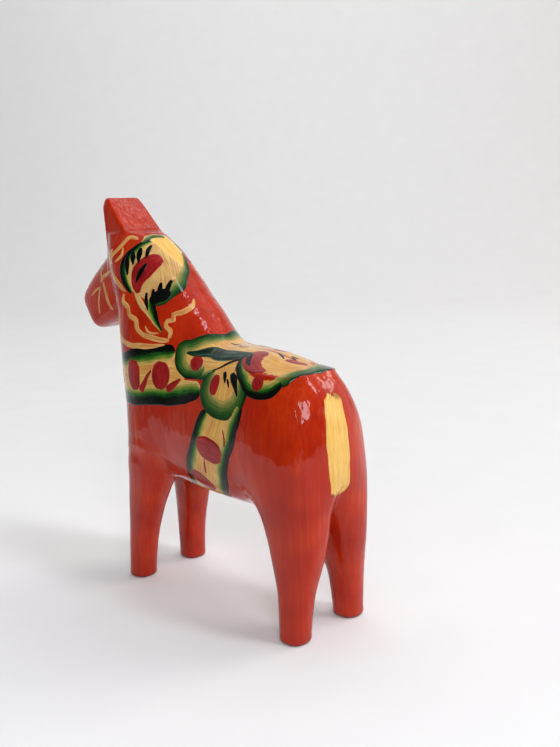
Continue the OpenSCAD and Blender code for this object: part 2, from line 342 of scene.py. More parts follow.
def on(view, *marks):
    """Where marks fall on the wood, seen from the left (marks are u, z), from above (u, w) or
    from behind (w, z). Each mark's third number is the brush's half width there. The line of
    sight is tried every 0.1 mm from outside, and the first point inside the wood is taken."""
    marks = np.array(marks, float)
    depth = {"left": np.arange(20, -1, -0.1), "above": np.arange(125, 50, -0.1),
             "behind": np.arange(-55, 60, 0.1)}[view]
    a, b, far = marks[:, :1], marks[:, 1:2], depth[None, :]
    u, w, z = {"left": (a, far, b), "above": (a, b, far), "behind": (far, a, b)}[view]
    d = wood(u, w, z)
    found = depth[np.where((d < 0).any(1), (d < 0).argmax(1), d.argmin(1))][:, None]
    u, w, z = {"left": (a, found, b), "above": (a, b, found), "behind": (found, a, b)}[view]
    p, _ = settled(np.hstack([u, w, z]), 3)
    return np.hstack([p, marks[:, 2:3]])


def through(marks, t):
    """A smooth line through marks at shares t of its length: cubic pieces whose slope at each
    mark is the mean of the slopes on its two sides, the shorter side counting more. Gives the
    points and the line's length."""
    gap = np.linalg.norm(np.diff(marks[:, :3], axis=0), axis=1)
    x = np.append(0, np.cumsum(gap))
    rise = np.diff(marks, axis=0) / gap[:, None]
    before, after = gap[:-1, None], gap[1:, None]
    mean = (rise[:-1] * after + rise[1:] * before) / (after + before)
    slope = np.vstack([rise[:1], mean, rise[-1:]])
    s = t * x[-1]
    i = np.clip(np.searchsorted(x, s, side="right") - 1, 0, len(gap) - 1)
    h, f = gap[i][:, None], ((s - x[i]) / gap[i])[:, None]
    value = ((1 + 2 * f) * (1 - f) ** 2 * marks[i] + f * (1 - f) ** 2 * h * slope[i]
             + f * f * (3 - 2 * f) * marks[i + 1] + f * f * (f - 1) * h * slope[i + 1])
    return value, x[-1]


def squares(k):
    """The four-sided faces between neighbouring points of a grid whose numbers are k."""
    return np.stack([k[:-1, :-1], k[1:, :-1], k[1:, 1:], k[:-1, 1:]], -1).reshape(-1, 4)


def slab(top, normal, lift, share, bristle):
    """A thin closed skin of paint over a grid of points on the wood. It stands lift above the
    wood and falls to 0.04 mm under it at the rim, as one less the 8th power of the way across
    and the 40th of the way along, and its underside is 0.15 mm down in the wood."""
    n, m = top.shape[:2]
    v = np.abs(np.linspace(-1, 1, m))[None, :, None]
    e = np.abs(np.linspace(-1, 1, n))[:, None, None]
    dome = (lift + 0.04) * (1 - v ** 8) * (1 - e ** 40) - 0.04
    p = np.concatenate([(top + dome * normal).reshape(-1, 3), (top - 0.15 * normal).reshape(-1, 3)])
    k = np.arange(n * m).reshape(n, m)
    rim = np.concatenate([k[:-1, 0], k[-1, :-1], k[:0:-1, -1], k[0, :0:-1]])
    after = np.roll(rim, -1)
    walls = np.stack([rim, rim + n * m, after + n * m, after], -1)
    under = squares(k)[:, ::-1] + n * m
    q = np.concatenate([squares(k), under, walls])
    return p, q, np.tile(share.reshape(-1, 2), (2, 1)), np.tile(bristle.reshape(-1, 2), (2, 1))


def stroke(marks, lift=0.08, dark="left", blunt=1.0, ragged=0.0, seed=0):
    """One brush stroke. The line through the marks is followed on the wood, and at each step
    the half width is walked off to both sides over the wood. blunt is how round the ends are,
    in half widths; ragged is how far, in mm, single bristles overrun the ends. dark tells on
    which side of the brush, seen from outside, the dark paint was loaded."""
    rng = np.random.default_rng(100 + seed)
    _, length = through(marks, np.zeros(1))
    t = np.linspace(0, 1, max(14, int(length / 0.8)))
    t = 0.6 * t + 0.4 * (1 - np.cos(math.pi * t)) / 2  # rows stand closer towards the two ends
    line, _ = through(marks, t)
    half = np.maximum(line[:, 3], 0.05)
    s = t * length
    for end, width in ((s, marks[0, 3]), (length - s, marks[-1, 3])):
        reach = np.clip(end / max(width * blunt, 0.05), 0, 1)
        half = half * np.maximum(np.sqrt(1 - (1 - reach) ** 2), 0.04)
    centre, normal = settled(line[:, :3], 3)
    ahead = np.gradient(centre, axis=0)
    m = max(7, 2 * int(half.max() / 0.55) + 5)
    v = np.linspace(-1, 1, m)
    v = np.sign(v) * (1 - (1 - np.abs(v)) ** 1.3)  # and closer towards the two rims
    phase = rng.uniform(0, 6.28, (2, 3))
    wander = np.stack([np.sin(s / 1.3 + a) + np.sin(s / 3.4 + b) + 0.5 * np.sin(s / 0.7 + c)
                       for a, b, c in phase], 1)  # waves 8, 21 and 4 mm long for each rim
    wander = half[:, None] + 0.07 * np.minimum(half, 1.2)[:, None] * wander
    wide = v[None, :] * np.where(v < 0, wander[:, :1], wander[:, 1:])
    p = np.repeat(centre[:, None], m, 1)
    if ragged:
        pull = ragged * (0.6 * rng.uniform(-1, 1, m) + 0.4 * rng.uniform(-1, 1, m))
        fade = 2.5 * ragged
        tip = np.clip(1 - s[:, None] / fade, 0, 1) - np.clip(1 - (length - s[:, None]) / fade, 0, 1)
        p = p - (tip * pull)[..., None] * (ahead / np.linalg.norm(ahead, axis=1, keepdims=True))[:, None]
    normal = np.repeat(normal[:, None], m, 1)
    steps = 4  # the half width is walked off in as many steps, each brought back to the wood
    for _ in range(steps):
        out = np.cross(normal, ahead[:, None])
        out /= np.linalg.norm(out, axis=-1, keepdims=True)
        p, normal = settled(p + out * (wide / steps)[..., None], 1)
    p, normal = settled(p, 1)
    across = (v[None, :] * (1 if dark == "right" else -1) + 1) / 2
    share = np.stack(np.broadcast_arrays(t[:, None], across), -1)
    bristle = np.stack(np.broadcast_arrays(s[:, None] + 61 * seed, half.max() * v[None, :] + 17 * seed), -1)
    return slab(p, normal, lift, share, bristle)


def patch(one, two, lift=0.05, seed=0):
    """A filled ground between two outlines: straight rungs from one to the other, settled
    onto the wood. Both outlines run the same way, the first to the right of the second. The
    rungs may start well inside the wood, so they are given 8 rounds to come out of it."""
    longest = max(through(np.asarray(side), np.zeros(1))[1] for side in (one, two))
    t = np.linspace(0, 1, max(14, int(longest / 0.8)))
    a, length = through(one, t)
    b, _ = through(two, t)
    widest = np.linalg.norm(a[:, :3] - b[:, :3], axis=1).max()
    v = np.linspace(0, 1, max(7, int(widest / 0.7)))
    p = a[:, None, :3] * (1 - v)[None, :, None] + b[:, None, :3] * v[None, :, None]
    p, normal = settled(p, 8)
    share = np.stack(np.broadcast_arrays(t[:, None], v[None, :]), -1)
    bristle = np.stack(np.broadcast_arrays(t[:, None] * length + 61 * seed, widest * v[None, :] + 17 * seed),
                       -1)
    return slab(p, normal, lift, share, bristle)


def mirrored(skin):
    """The same paint on the other flank, its faces turned so that they still point out."""
    p, q, share, bristle = skin
    return p * (1, -1, 1), q[:, ::-1], share, bristle + 211  # other streaks than on the left


def for_side(hand, skins):
    """Skins of the left flank as they are, or mirrored for the right one."""
    return skins if hand == "left" else [mirrored(skin) for skin in skins]


def both_sides(skins):
    """Skins of the left flank and the same on the right."""
    return skins + for_side("right", skins)


def over_the_middle(marks, *between):
    """A line of marks on the left carried on, by way of the marks between, over the middle to
    the same marks on the right."""
    return np.vstack([marks, *np.array(between).reshape(-1, 1, 4), (marks * (1, -1, 1, 1))[::-1]])


def lay(name, finish, skins, node):
    """Skins of one paint put together as one piece, which stands for a node. Where two
    strokes cross, the one with the greater lift was painted last and shows."""
    first = np.cumsum([0] + [len(skin[0]) for skin in skins])
    points = np.concatenate([skin[0] for skin in skins])
    faces = np.concatenate([skin[1] + start for skin, start in zip(skins, first)])
    piece = make_piece(name, points, faces, finish, (
        ("share", np.concatenate([skin[2] for skin in skins])),
        ("bristle", np.concatenate([skin[3] for skin in skins]))))
    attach(piece, "root")
    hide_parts(node)
    return piece


def oil_paint(name, stops, hair_width, mottle=0.25, loaded=False, relief=0.5):
    """A brushed oil paint under the varnish. The ramp of colours is read across the brush when
    it was loaded with two paints, or else from streak to streak; hair_width is a streak's width
    in metres, and mottle is how far pools of thicker paint, 4.5 mm wide, shift the colour."""
    finish, tree, shader = new_finish(name)
    hairs = add(tree, "ShaderNodeUVMap", {"uv_map": "bristle"})
    drawn = add(tree, "ShaderNodeMapping", None,  # the map is in mm: a streak is about 11 mm long
                {"Vector": hairs.outputs[0], "Scale": (0.09, 0.001 / hair_width, 1)})
    hair = add(tree, "ShaderNodeTexNoise", None,
               {"Vector": drawn.outputs[0], "Scale": 1.0, "Detail": 3.0, "Roughness": 0.6})
    place = add(tree, "ShaderNodeTexCoord").outputs["Object"]
    pool = add(tree, "ShaderNodeTexNoise", None, {"Vector": place, "Scale": 1 / 0.0045, "Detail": 2.0})
    hair_swing = add(tree, "ShaderNodeMath", {"operation": "SUBTRACT"}, {0: hair.outputs["Fac"], 1: 0.5})
    pool_swing = add(tree, "ShaderNodeMath", {"operation": "SUBTRACT"}, {0: pool.outputs["Fac"], 1: 0.5})
    if loaded:
        share = add(tree, "ShaderNodeUVMap", {"uv_map": "share"})
        across = add(tree, "ShaderNodeSeparateXYZ", None, {"Vector": share.outputs[0]})
        frayed = add(tree, "ShaderNodeMath", {"operation": "MULTIPLY_ADD"},
                     {0: hair_swing.outputs[0], 1: 0.42, 2: across.outputs["Y"]})
        base = frayed.outputs[0]
    else:
        base = hair.outputs["Fac"]
    mixed = add(tree, "ShaderNodeMath", {"operation": "MULTIPLY_ADD"},
                {0: pool_swing.outputs[0], 1: mottle, 2: base})
    ramp = add(tree, "ShaderNodeValToRGB", {"stops": stops}, {"Fac": mixed.outputs[0]})
    tree.links.new(ramp.outputs["Color"], shader.inputs["Base Color"])
    under_varnish(shader, 1.48, 0.05)
    for surface, strength in (("Normal", relief), ("Coat Normal", relief * 0.4)):
        bump = add(tree, "ShaderNodeBump", None,
                   {"Height": hair.outputs["Fac"], "Strength": strength, "Distance": 0.0002})
        tree.links.new(bump.outputs["Normal"], shader.inputs[surface])
    return finish


HAIR = 0.0006  # metres: how wide a streak the bristles of a common brush leave

# Double-loaded green: one edge of the brush dipped in black-green and the other in cream, so
# that a single pull grades from near black through leaf green to cream, in fine streaks.
edge_green = oil_paint("double_loaded_green_oil_paint", [
    (0.0, "#030603"), (0.34, "#061006"), (0.46, "#10400F"), (0.58, "#2F6A1C"),
    (0.70, "#7E8436"), (0.84, "#BC9E52"), (1.0, "#CFAE68")], HAIR, 0.3, True)
# Cream ground: white with a little ochre, brushed thin, so the red shows as pinkish streaks.
cream = oil_paint("cream_oil_paint", [
    (0.25, "#B87A3E"), (0.42, "#C88F48"), (0.55, "#D29F54"), (0.75, "#E0B76C")], HAIR, 0.35)
# Carmine: a transparent crimson glaze laid over the cream, darker where the brush paused.
carmine = oil_paint("carmine_oil_paint", [
    (0.25, "#6E0D10"), (0.5, "#8E1719"), (0.75, "#AC2C27")], HAIR, 0.5)

ground = [patch(on("left", (36.5, 66, 1), (30, 65.5, 1), (25, 66, 1), (15, 67.5, 1), (8, 68.5, 1),
                   (2, 69.5, 1)),
                on("left", (36.5, 79, 1), (30, 78, 1), (25, 79, 1), (15, 81, 1), (10, 81.5, 1), (6, 76, 1)))]
front = patch(over_the_middle(on("left", (36, 66, 1), (39, 66.3, 1)), (41.5, 0, 66.5, 1)),
              over_the_middle(on("left", (36, 78.7, 1), (39, 78, 1)), (42.5, 0, 77.5, 1)))
lay("breast_band_ground", cream, both_sides(ground) + [front], "breast_band")

upper = on("left", (9.3, 80.6, 2.6), (13, 80.3, 3.0), (20, 79.3, 3.2), (27, 78, 3.1), (34, 76.4, 2.8),
           (39, 75.6, 2.6))
lower = on("left", (-4, 70.5, 2.6), (0, 70, 3.4), (5, 69, 3.8), (10, 68, 3.8), (20, 66.7, 3.5),
           (30, 65.4, 3.2), (39, 65.3, 2.8))
over_breast = over_the_middle(upper, (42.8, 0, 75.2, 2.6))
under_breast = over_the_middle(lower, (41.8, 0, 65.3, 2.8))
lay("breast_band_edges", edge_green, [
    stroke(over_breast, 0.07, "right", seed=1), stroke(under_breast, 0.075, "left", seed=2)],
    "breast_band")

ovals = [stroke(on("left", (26.6, 67.2, 2.6), (27.2, 71, 3.4), (27, 75, 3.4), (26.4, 78, 2.8)), 0.09, seed=3),
         stroke(on("left", (24.2, 67, 1.5), (22.2, 70, 1.2), (20.2, 73, 0.7), (18.3, 75, 0.3)), 0.09, seed=4),
         stroke(on("left", (15.0, 68.6, 3), (14.8, 71.5, 3.9), (14.4, 75, 3.9), (14, 78.2, 3)), 0.09, seed=5),
         stroke(on("left", (12.2, 69, 1.5), (9.4, 70.6, 1.3), (7.2, 72, 0.8), (5.8, 73.2, 0.3)), 0.09,
                seed=6),
         stroke(on("left", (37.5, 68, 2.2), (38.2, 71.5, 3), (38, 75, 2.6)), 0.09, seed=7)]
lay("breast_band_ovals", carmine, both_sides(ovals), "breast_band")

# ---------------------------------------------------------------------------
# The saddle flowers. Leaves, balls and open flowers painted over the back from
# the withers to the croup: cream grounds, rims pulled with a double-loaded brush,
# then carmine petals, a veined leaf and black comma strokes, all in oil paint.

# Ball green: black-green and cream on one brush as before, but with more of both left wet to
# mix, so that the rims are dark at one edge and a duller, wider green and straw at the other.
ball_green = oil_paint("ball_green_oil_paint", [
    (0.0, "#08140A"), (0.14, "#10300F"), (0.32, "#214C1A"), (0.52, "#435F29"), (0.72, "#7C7C3C"),
    (0.9, "#AA9250"), (1.0, "#C0A05C")], HAIR, 0.35, True)
# Leaf green: blue-black green with paler hair-thin veins left where the bristles ran dry.
leaf_green = oil_paint("leaf_green_oil_paint", [
    (0.30, "#06130C"), (0.48, "#0F2618"), (0.60, "#224430"), (0.78, "#5C7A62")], 0.0007, 0.3)
# Comma black: ivory black put down last in one press of a pointed brush, thick and glossy.
comma_black = oil_paint("black_oil_paint", [(0.3, "#040405"), (0.6, "#080A09"), (0.85, "#151A16")], HAIR, 0.2)


collar = np.vstack([on("left", (-4, 76.4, 2), (1, 75.4, 2.4), (4.4, 75.7, 2.5), (6.4, 77.2, 2.5),
                       (7.3, 79.7, 2.5), (6.9, 82.2, 2.5)),
                    on("above", (4.8, 10.2, 2.3), (2.6, 7.4, 2.2), (0.6, 4.2, 2.1), (-0.4, 1.6, 2))])
rear_rim = on("left", (-15.6, 80.4, 1), (-17.5, 78.2, 2), (-20.2, 75.7, 2.4), (-23.5, 73.4, 2.6),
              (-27.5, 72.8, 2.7), (-31.5, 73.6, 2.5), (-34.2, 75.8, 1.6))
croup_rim = np.vstack([on("left", (-31.6, 74.6, 1), (-34.2, 76, 2.2)),
                       on("above", (-35.8, 5.5, 2.6), (-36.8, 2.5, 2.6))])
side_ground = patch(on("left", (7.6, 83, 1), (8.4, 80, 1), (8, 77, 1), (5.8, 74.8, 1), (2, 74.2, 1),
                       (-3, 74, 1), (-8, 74.6, 1), (-12, 76, 1), (-16, 77, 1)),
                    on("above", (5.6, 10.6, 1), (4, 8.6, 1), (2.4, 6.8, 1), (0, 5.6, 1), (-3, 5.2, 1),
                       (-7, 5.2, 1), (-10, 5.4, 1), (-13, 5.6, 1), (-16, 5.8, 1)), 0.05, 11)
spine = on("above", (1.5, 5.5, 1), (-1, 6.5, 1), (-5, 7, 1), (-10, 7.2, 1), (-16, 7.5, 1))
rear = np.vstack([on("above", (-14.8, 7.5, 1)), on("left", (-17, 78.2, 1), (-19.6, 75.6, 1), (-23.3, 73, 1),
                                                   (-27.8, 72.2, 1), (-31.6, 74.2, 1), (-33.8, 76.6, 1)),
                  on("above", (-35.6, 5, 1), (-36.6, 2.5, 1))])
ridge = on("above", (-14.8, 0, 1), (-22, 0, 1), (-30, 0, 1), (-36.8, 0, 1))
lay("saddle_ground", cream, both_sides([side_ground, patch(rear, ridge, 0.08, 13)]) + [
    patch(spine, spine * (1, -1, 1, 1), 0.055, 12)], "saddle_flowers")

ball = [stroke(on("left", (-13.4, 64.2, 6.2), (-13.6, 67.5, 8.6), (-13.8, 71, 9.2), (-14, 74.5, 7.6),
                  (-14, 77.6, 3)), 0.075, blunt=0.6, seed=14)]
lay("ball_ground", cream, both_sides(ball), "saddle_flowers")
ball_rims = [stroke(on("left", (-7.4, 76.4, 1.6), (-6.6, 72.5, 3.0), (-7.6, 68.6, 3.6), (-11, 66.4, 3.4),
                       (-15.6, 66.2, 3.4), (-19.4, 68.6, 3.4), (-20.6, 72.4, 3.0), (-19.6, 76, 1.6)),
                    0.09, "right", seed=15)]
between = stroke(on("left", (3, 75.2, 0.5), (-1, 74.6, 1.2), (-5, 75.4, 1.4), (-8.4, 77, 0.6)), 0.08,
                 "right", seed=35)
over_croup = stroke(over_the_middle(croup_rim), 0.08, "right", seed=34)
over_withers = stroke(over_the_middle(collar), 0.09, "left", seed=16)
lay("ball_rims", ball_green, both_sides([between] + ball_rims) + [over_croup, over_withers],
    "saddle_flowers")
lay("saddle_rims", edge_green, both_sides([stroke(rear_rim, 0.095, "right", seed=17)]),
    "saddle_flowers")

leaf = np.vstack([on("left", (6.2, 80.8, 0.3), (2.4, 80.7, 1.3), (-2.6, 81.2, 2.4)),
                  on("above", (-7.4, 8.5, 2.8), (-12, 7.4, 2.5), (-16.4, 6, 1.8), (-20.4, 4.6, 0.4))])
lay("leaves", leaf_green, both_sides([stroke(leaf, 0.12, seed=18)]), "saddle_flowers")

petals = [stroke(on("left", (3.4, 79.4, 1.7), (1.2, 78, 2.6), (-1.2, 76.4, 2)), 0.12, seed=19),
          stroke(on("left", (-9.9, 75.8, 1.4), (-9.6, 73, 2.1), (-9.6, 69.6, 1.3)), 0.125, seed=20),
          stroke(on("above", (-21.4, 2.4, 2.2), (-19, 5.4, 3.6), (-20.2, 8.8, 3.5), (-23, 10.2, 2.4),
                    (-25.4, 10.3, 1.2), (-27.6, 10, 0.3)), 0.13, seed=21),
          stroke(on("left", (-25.2, 76.6, 1.8), (-26.6, 74.6, 2.3), (-27.8, 72.8, 1.5)), 0.125, seed=22)]
crupper = stroke(on("above", (-27.5, 2.5, 0.9), (-30.5, 1.2, 1.5), (-33.5, -0.6, 0.8)), 0.12, seed=23)
lay("saddle_petals", carmine, both_sides(petals) + [crupper], "saddle_flowers")

commas = [stroke(on("left", (-6.6, 76.4, 0.2), (-9.5, 77.5, 0.4), (-12, 79, 0.6), (-15.6, 80.4, 0.8)), 0.13,
                 seed=24),
          stroke(on("left", (-12.0, 76.7, 0.6), (-12.8, 75.4, 0.75), (-13.8, 73.6, 0.25)), 0.14, seed=25),
          stroke(on("left", (-14.0, 74.9, 0.2), (-14.8, 73.9, 0.45), (-15.7, 72.4, 0.15)), 0.14, seed=26),
          stroke(on("left", (-15.0, 76.7, 0.8), (-16.6, 75, 1.25), (-18.2, 72.9, 0.95), (-19.8, 70.2, 0.25)),
                 0.14, seed=27),
          stroke(on("above", (-16.6, 5.4, 0.4), (-17.6, 7.2, 1.0), (-18.9, 8.8, 0.9), (-20.6, 10, 0.3)),
                 0.15, seed=28)]
single = [stroke(on("above", (-22, -0.2, 0.2), (-24.5, 0.8, 0.55), (-27, 2.3, 0.2)), 0.14, seed=29),
          stroke(on("above", (-26, -1.7, 0.3), (-27.5, -1.9, 0.45), (-29, -2, 0.2)), 0.13, seed=30),
          stroke(on("above", (-27, -0.8, 0.3), (-28.2, -0.7, 0.45), (-29.3, -0.6, 0.2)), 0.13, seed=31),
          stroke(on("above", (-3.4, 1.6, 0.25), (-5, 1.2, 0.6), (-7, 0.4, 0.2)), 0.13, seed=32),
          stroke(on("above", (-8, 2.4, 0.25), (-9.6, 1.8, 0.5), (-11, 1.0, 0.2)), 0.13, seed=33)]
lay("saddle_commas", comma_black, both_sides(commas) + single, "saddle_flowers")

# ---------------------------------------------------------------------------
# The girth bands. A strap painted down each flank from the saddle ball to under
# the belly, with the same cream ground, green edges and carmine ovals in oil paint.

under_front, under_rear = np.array([[8.6, 9, 34.8, 1]]), np.array([[-7.4, 9, 34.2, 1]])
strap_fore = np.vstack([
    on("left", (-6.4, 65.6, 1), (-3.8, 61, 1), (-1.8, 57, 1), (0.2, 53.2, 1), (2.2, 49.4, 1), (4, 46, 1),
       (5, 43.2, 1), (6.6, 40.6, 1), (7.8, 38, 1)), under_front * (0.95, 1, 1, 1)])
strap_rear = np.vstack([
    on("left", (-21.8, 66.4, 1), (-20.2, 63, 1), (-18.8, 59.6, 1), (-17.4, 56.6, 1), (-15.4, 53.4, 1),
       (-13.6, 50, 1), (-12.2, 46.8, 1), (-11.6, 43.8, 1), (-9, 40, 1)), under_rear * (0.8, 1, 1, 1)])
strap = patch(strap_fore, strap_rear, 0.06, 41)
fore_edge = np.vstack([
    on("left", (-7.4, 65, 1.6), (-4.9, 61, 2.4), (-2.9, 57, 2.5), (-0.9, 53, 2.6), (1.2, 49.3, 2.6),
       (3, 46, 2.6), (4, 43, 2.6), (5.6, 40.2, 2.5), (6.6, 37.6, 2.3)), [[7, 8.5, 34.4, 1.6]]])
rear_edge = np.vstack([
    on("left", (-21.6, 68.4, 1.6), (-20, 64.6, 2.4), (-18.4, 61, 2.6), (-17, 57.6, 2.6), (-14.9, 54, 2.6),
       (-13.1, 50.3, 2.6), (-11.7, 47, 2.6), (-10.9, 44, 2.6), (-8.7, 40.6, 2.5)), [[-6, 9, 35, 1.8]]])
edges = [stroke(fore_edge, 0.09, "right", seed=42), stroke(rear_edge, 0.09, "left", seed=43)]
drops = [stroke(on("left", (-1.6, 54.6, 2.2), (-5.4, 53.6, 3.9), (-9.6, 52.4, 4), (-13.4, 51.2, 2.4)), 0.12,
                seed=44),
         stroke(on("left", (-14.6, 54.8, 0.5), (-14.8, 57, 0.45), (-14.2, 60.4, 0.2)), 0.12, seed=45),
         stroke(on("left", (4.6, 44, 1.8), (1.6, 42.4, 3.2), (-1.6, 40.6, 3.2), (-4.6, 38.8, 1.8)), 0.12,
                seed=46),
         stroke(on("left", (-3.8, 44.6, 0.5), (-4.2, 47, 0.5), (-4.8, 49.8, 0.2)), 0.12, seed=47)]
for hand in ("left", "right"):
    band = "girth_band_" + hand
    lay("girth_ground_" + hand, cream, for_side(hand, [strap]), band)
    lay("girth_edges_" + hand, edge_green, for_side(hand, edges), band)
    lay("girth_ovals_" + hand, carmine, for_side(hand, drops), band)

# ---------------------------------------------------------------------------
# The neck flowers. One open flower on each side of the neck, meeting over the
# mane: ochre ground, black-green rims with black fingers, a carmine drop, oil paint.

# Ochre ground: yellow ochre and white, brushed up and down the neck, pinkish where thin.
ochre = oil_paint("ochre_oil_paint", [
    (0.25, "#98703F"), (0.42, "#B98C54"), (0.55, "#C9A062"), (0.75, "#DDB56A")], HAIR, 0.35)

# Warm yellow: cadmium yellow with white, laid thick, for the mane's cap and the tail.
warm_yellow = oil_paint("warm_yellow_oil_paint", [
    (0.25, "#D69E48"), (0.42, "#DEAB52"), (0.58, "#E4B65E"), (0.8, "#ECCB86")], HAIR, 0.3)

bloom = patch(on("left", (24, 96.5, 1), (20, 96, 1), (17, 97, 1), (17.6, 100, 1), (19, 102.4, 1),
                 (21, 104.8, 1), (23.2, 107.2, 1), (25.4, 109.8, 1), (27.6, 112.2, 1), (29.4, 114.4, 1)),
              on("left", (29.6, 98.6, 1), (32.4, 101, 1), (34.4, 103.4, 1), (35.8, 106, 1), (36, 108.2, 1),
                 (35, 110.2, 1), (33.4, 112, 1), (32, 113.6, 1), (31, 114.8, 1), (30.6, 115.6, 1)), 0.055, 51)
over_mane = patch(on("behind", (2.2, 102.6, 1), (-0.6, 105, 1), (-3, 107.6, 1), (-5.4, 110.4, 1),
                     (-5.8, 113, 1), (-5.2, 115.4, 1), (-4.6, 116.6, 1)),
                  on("behind", (7, 101.6, 1), (7, 104.4, 1), (6.8, 107.4, 1), (6.4, 110.4, 1), (6, 113, 1),
                     (5.4, 115.4, 1), (4.8, 116.6, 1)), 0.05, 52)
cap = patch(on("behind", (-1.6, 106.2, 1), (-3.6, 108, 1), (-5.4, 110.4, 1), (-5.8, 113, 1),
               (-5.2, 115.4, 1), (-4.6, 116.4, 1)),
            on("behind", (0, 106.2, 1), (1.2, 108, 1), (2.6, 110.4, 1), (3.8, 113, 1), (4.6, 115.4, 1),
               (4.6, 116.4, 1)), 0.085, 73)
cap_rim = stroke(on("behind", (6.4, 114.2, 0.8), (3.4, 116, 1.3), (0, 116.4, 1.3), (-3.4, 115.8, 0.8)), 0.1,
                 "right", seed=72)
left_rim = np.vstack([on("left", (30.2, 98.6, 0.7), (32.7, 101.2, 1.7), (34.5, 103.6, 2.3), (35.5, 106, 2.5),
                         (35.5, 108.3, 2.5), (34.2, 110.6, 2.3), (32.4, 112.8, 1.8), (31.2, 114.8, 1))])
under_rim = on("left", (17.6, 98, 2.3), (18.6, 96.2, 1.6), (21, 95.6, 0.8))
right_rim = np.vstack([on("behind", (-4.6, 110.6, 0.4), (-3.4, 108, 0.9), (-1.2, 105.6, 1.4),
                          (1.6, 103.4, 1.9), (4.4, 101, 2.3)), under_rim])
far_rim = np.vstack([on("left", (30, 111.4, 0.5), (28.6, 108.4, 1.2), (26.6, 105.6, 1.7), (24.4, 102.8, 1.9),
                        (22, 100.2, 2)),
                     on("left", (20.6, 98, 1.9), (20.8, 96.4, 1.4), (22.2, 95.6, 0.8))])
fall = on("left", (22.6, 97, 1.4), (21.4, 94, 1.9), (18.8, 90.6, 1.4), (15.4, 86.7, 0.3))
fingers = [on("left", (16.4, 97.4, 1.3), (18.2, 98, 2.3), (20.4, 97.2, 2.3), (22.4, 95.6, 1.3)),
           on("left", (18.8, 102.6, 0.5), (18.4, 100.4, 1.0), (17.8, 98.2, 1.0)),
           on("left", (20.9, 102, 0.5), (20.2, 99.6, 1.1), (19.3, 97, 1.1)),
           on("left", (22.4, 100, 0.5), (22, 98.2, 0.9), (21.3, 96.2, 0.9)),
           on("left", (24.4, 99, 0.5), (24, 96.8, 0.9), (22.2, 93.2, 0.3)),
           on("left", (29.4, 101.6, 0.3), (28.8, 104.4, 1.25), (27.4, 108, 0.5)),
           on("left", (35.9, 110.9, 0.4), (34.9, 107.8, 1.15), (33.4, 104, 0.3)),
           on("left", (34, 112.2, 0.4), (33.2, 110.2, 1.05), (32.1, 107.4, 0.3)),
           on("left", (31.9, 113, 0.4), (31.3, 110.8, 1.1), (30.2, 107.8, 0.3)),
           on("left", (30.1, 113.7, 0.4), (29.4, 112, 0.95), (28.4, 109.2, 0.3))]
drop = on("left", (27.4, 98.3, 0.7), (28.7, 101.4, 2.6), (28.5, 104.4, 3.9), (26.8, 107.4, 3.8),
          (24.8, 109.4, 2.4))
beside = on("left", (29.2, 99, 0.8), (25.4, 95.1, 1.1), (21.2, 91.8, 0.8), (18.2, 88.7, 0.25))
rims = [stroke(left_rim, 0.09, "left", seed=53), stroke(fall, 0.1, "left", seed=55)]
blacks = [stroke(finger, 0.13 + 0.003 * n, seed=56 + n) for n, finger in enumerate(fingers)]
for hand, outer, seen, top in (("left", right_rim, blacks, [over_mane]), ("right", far_rim, blacks[2:], [])):
    flower = "neck_flower_" + hand
    ground = for_side(hand, [bloom, stroke(beside, 0.09, seed=70)]) + top
    lay("neck_ground_" + hand, ochre, ground, flower)
    lay("neck_rims_" + hand, edge_green, for_side(hand, rims), flower)
    outer_rim = for_side(hand, [stroke(outer, 0.09, "left", seed=54)])
    lay("neck_outer_rim_" + hand, ball_green, outer_rim, flower)
    lay("neck_drop_" + hand, carmine, for_side(hand, [stroke(drop, 0.11, seed=71)]), flower)
    lay("neck_fingers_" + hand, comma_black, for_side(hand, seen), flower)

lay("mane_cap", warm_yellow, [cap], "neck_flower_left")
lay("mane_cap_rim", ball_green, [cap_rim], "neck_flower_left")

# ---------------------------------------------------------------------------
# The bridles. Thin wandering lines of ochre and cream for the headstall, cheek
# and rein on each side, drawn with a fine round brush and thin oil paint.

bridle_ochre = oil_paint("thin_ochre_oil_paint", [
    (0.25, "#A85A2C"), (0.42, "#BE8044"), (0.58, "#CF9A58"), (0.8, "#DCB070")], 0.0005, 0.4)

